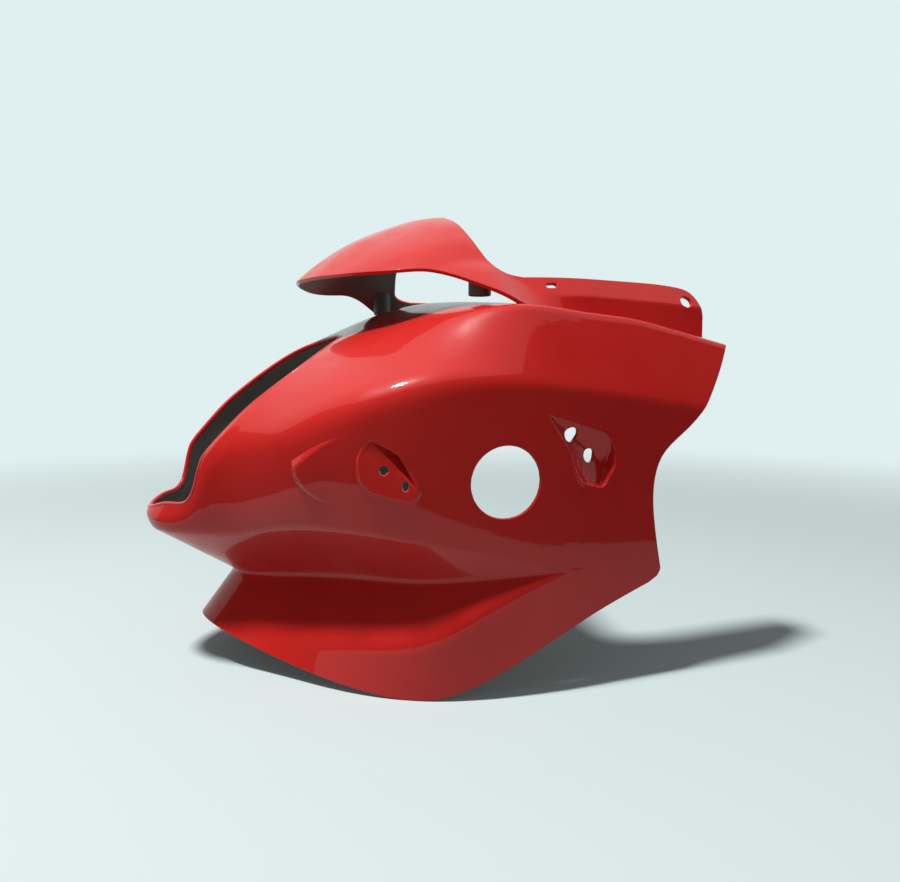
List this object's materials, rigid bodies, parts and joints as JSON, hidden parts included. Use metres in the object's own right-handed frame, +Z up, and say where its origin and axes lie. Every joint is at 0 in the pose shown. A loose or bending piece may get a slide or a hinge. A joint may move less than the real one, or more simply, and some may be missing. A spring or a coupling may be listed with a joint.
{
  "type": "motorbike headlight cowl",
  "caption": "Moulded nose cowl for a motorbike headlight, with a sloping lamp opening, grooved cheeks, round side holes, a visor bridge and screen arms.",
  "frame": {"origin": "on the centre plane, at the axis of the two round side holes", "axes": "+X to the bike's left along the side holes' axis, -Y to the nose, +Z up as fitted on the bike"},
  "size_m": [0.3348, 0.3801, 0.3246],
  "materials": {
    "red_shell": "gloss red paint outside, bare dark plastic inside"
  },
  "bodies": {
    "root": {"headlight_cowl": "red_shell"}
  },
  "joints": []
}
